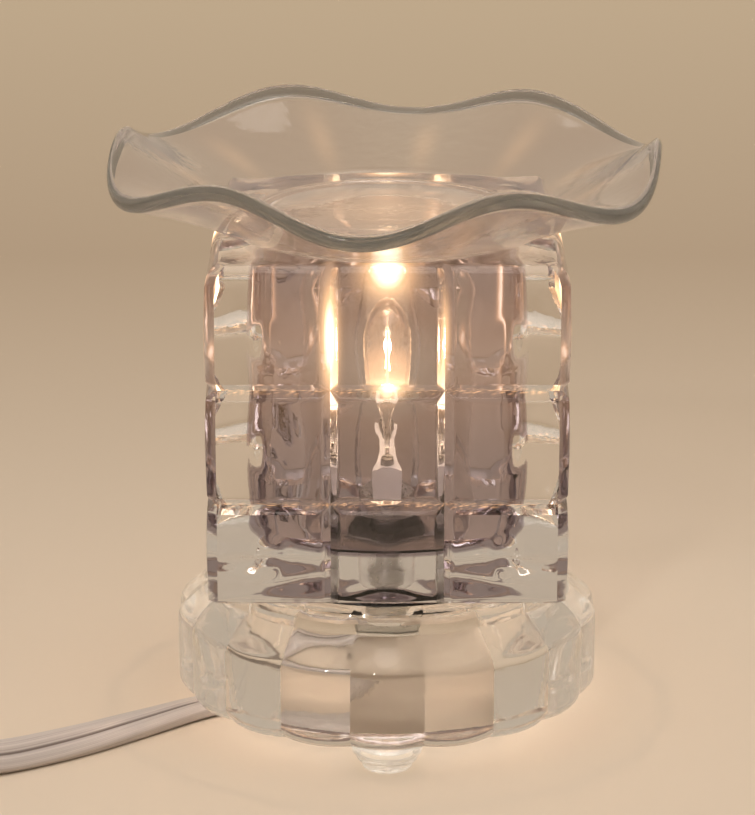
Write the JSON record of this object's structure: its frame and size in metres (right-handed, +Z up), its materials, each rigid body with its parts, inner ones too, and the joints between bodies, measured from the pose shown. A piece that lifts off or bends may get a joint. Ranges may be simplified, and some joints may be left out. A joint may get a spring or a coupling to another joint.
{
  "type": "glass wax warmer lamp",
  "caption": "Electric glass warmer for scented wax: ruffled dish on a pressed tile block with a lit halogen capsule, scalloped base, flat cord with dimmer and plug.",
  "frame": {"origin": "on the table under the lamp's axis, at the bottom of the feet", "axes": "+Z up, front of the lamp towards -Y, cord leaves towards -X"},
  "size_m": [0.278, 0.1397, 0.1242],
  "materials": {
    "dish_glass": "smoky mauve glass, fire polished",
    "body_glass": "clear pressed glass, tinted inside",
    "base_glass": "clear pressed glass",
    "clear_vinyl": "clear soft vinyl",
    "zinc_steel": "zinc plated",
    "grey_rubber": "matt",
    "black_nylon": "satin moulded",
    "white_ceramic": "unglazed steatite",
    "brass": "stamped, satin",
    "capsule_glass": "clear quartz",
    "hot_filament": "tungsten coil, lit",
    "nickel_wire": "drawn wire",
    "lead_sleeve": "glass fibre sleeve",
    "copper": "bare strands",
    "cord_vinyl": "clear vinyl over silvery strands",
    "dimmer_plastic": "fine moulded grain",
    "wheel_plastic": "satin moulded",
    "control_plastic": "moulded",
    "board_laminate": "laminate",
    "plug_vinyl": "semi-clear moulded vinyl"
  },
  "bodies": {
    "lamp": {"tile_body": "body_glass", "scalloped_base": "base_glass", "foot_bumpers": "clear_vinyl", "lamp_pipe": "zinc_steel", "floor_washer": "zinc_steel", "floor_nut": "zinc_steel", "base_washer": "zinc_steel", "base_nut": "zinc_steel", "socket_plate": "zinc_steel", "socket_spacers": "zinc_steel", "holder_screws": "zinc_steel", "dimmer_screws": "zinc_steel", "floor_gasket": "grey_rubber", "base_gasket": "grey_rubber", "pipe_bushing": "black_nylon", "coil_tie": "black_nylon", "ceramic_socket": "white_ceramic", "socket_contacts": "brass", "dimmer_terminals": "brass", "plug_blades": "brass", "lead_wires": "lead_sleeve", "dimmer_wires": "copper", "cord_lead": "cord_vinyl", "cord_link": "cord_vinyl", "cord_coil": "cord_vinyl", "cord_tail": "cord_vinyl", "dimmer_base": "dimmer_plastic", "dimmer_cover": "dimmer_plastic", "dimmer_potentiometer": "control_plastic", "dimmer_triac": "control_plastic", "dimmer_board": "board_laminate", "plug_body": "plug_vinyl"},
    "dish": {"ruffled_dish": "dish_glass"},
    "wheel": {"dimmer_wheel": "wheel_plastic"},
    "bulb": {"bulb_capsule": "capsule_glass", "bulb_filament": "hot_filament", "bulb_leads": "nickel_wire", "bulb_pins": "nickel_wire"}
  },
  "joints": [
    {"name": "dish_lift", "type": "slide", "parent": "lamp", "child": "dish", "axis": [0, 0, 1], "range_m": [0, 0.08]},
    {"name": "bulb_pull", "type": "slide", "parent": "lamp", "child": "bulb", "axis": [0, 0, 1], "range_m": [0, 0.008]},
    {"name": "dimmer_turn", "type": "hinge", "parent": "lamp", "child": "wheel", "pos_m": [-0.138, -0.049, 0.0104], "axis": [0, 1, 0], "range_deg": [0, 280]}
  ]
}
